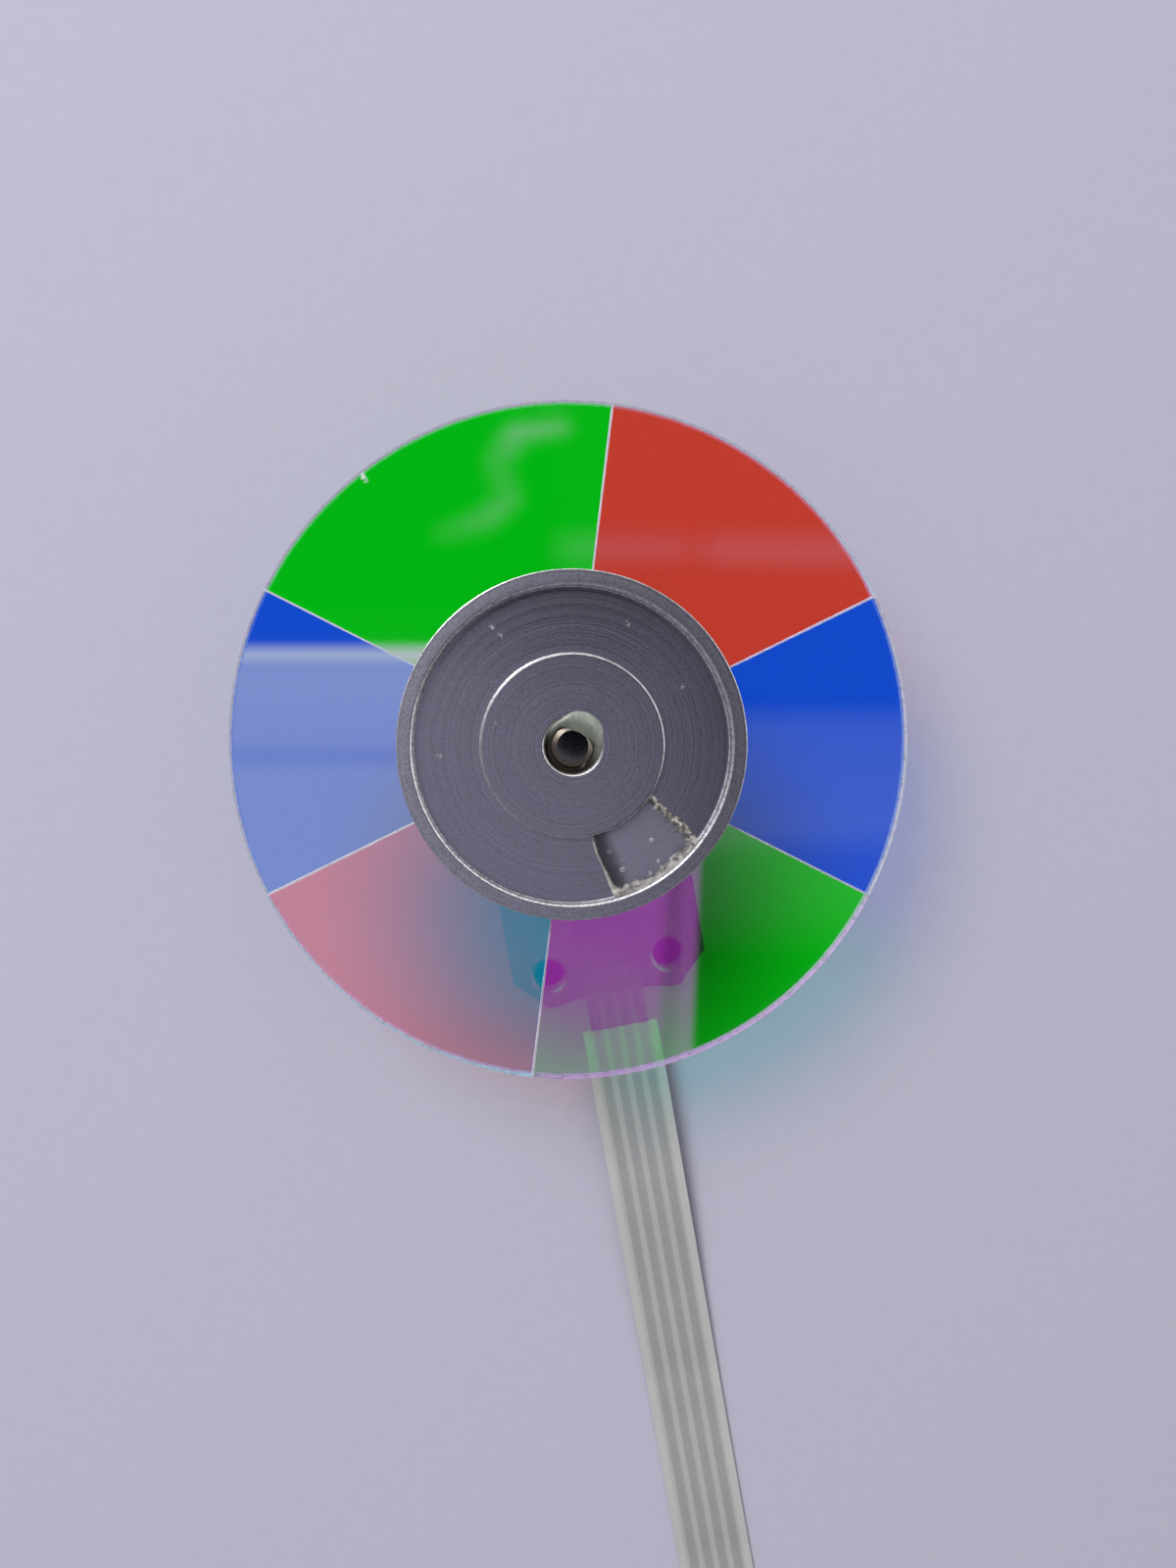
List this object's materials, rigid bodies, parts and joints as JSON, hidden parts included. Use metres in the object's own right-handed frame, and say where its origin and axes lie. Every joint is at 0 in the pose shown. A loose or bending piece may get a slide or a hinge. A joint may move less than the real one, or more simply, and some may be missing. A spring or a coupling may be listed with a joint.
{
  "type": "color wheel",
  "caption": "Spinning dichroic colour wheel: coated glass sectors on a small brushless motor with a mounting plate and a flat cable.",
  "frame": {"origin": "on the spindle axis at the underside of the base plate", "axes": "+Z along the spindle from the base plate to the clamp ring; the tongue of the base plate and the flat cable run towards -Y"},
  "size_m": [0.05, 0.1733, 0.013],
  "materials": {
    "milled_aluminium": "dark satin, fine milling marks",
    "turned_aluminium": "turned, fine concentric marks",
    "turned_brass": "turned",
    "sintered_bronze": "porous, matte",
    "nylon": "moulded, matte",
    "acetal": "moulded, satin",
    "steel_sheet": "pressed, satin",
    "laminated_steel": "stamped laminations",
    "enamelled_copper": "enamelled wire",
    "solder": "bright solder",
    "flexible_circuit": "dark cover film, satin",
    "tinned_copper": "tinned",
    "cable_film": "pale translucent film",
    "stiffener_film": "blue stiffener film",
    "ground_steel": "ground, polished end",
    "drawn_steel": "deep drawn, zinc plated",
    "ring_magnet": "bonded magnet, dark coating",
    "black_paint": "matte black",
    "bond_film": "thin cured adhesive",
    "epoxy": "cured epoxy, glossy, slightly cloudy",
    "clear_resin": "clear cured resin with bubbles",
    "green_glass": "dichroic coating, glossy",
    "red_glass": "dichroic coating, glossy",
    "blue_glass": "dichroic coating, glossy"
  },
  "bodies": {
    "base": {"base_plate": "milled_aluminium", "bearing_sleeve": "turned_brass", "bearing_bush": "sintered_bronze", "oil_guard": "nylon", "thrust_plate": "acetal", "sleeve_cap": "steel_sheet", "stator_core": "laminated_steel", "lower_insulator": "nylon", "upper_insulator": "nylon", "coil_windings": "enamelled_copper", "winding_leads": "enamelled_copper", "lead_solder": "solder", "circuit_board": "flexible_circuit", "cable_conductor_ends": "tinned_copper", "ribbon_cable": "cable_film", "cable_stiffener": "stiffener_film", "cable_contacts": "tinned_copper"},
    "rotor": {"shaft": "ground_steel", "stop_ring": "acetal", "rotor_hub": "turned_aluminium", "rotor_yoke": "drawn_steel", "rotor_magnet": "ring_magnet", "timing_mark": "black_paint", "green_filter_1": "green_glass", "blue_filter_1": "blue_glass", "red_filter_1": "red_glass", "green_filter_2": "green_glass", "blue_filter_2": "blue_glass", "red_filter_2": "red_glass", "filter_adhesive": "bond_film", "clamp_ring": "turned_aluminium", "shaft_adhesive": "epoxy", "balance_resin": "clear_resin"}
  },
  "joints": [
    {"name": "rotor_spin", "type": "hinge", "parent": "base", "child": "rotor", "pos_m": [0, 0, 0], "axis": [0, 0, 1], "continuous": true}
  ]
}
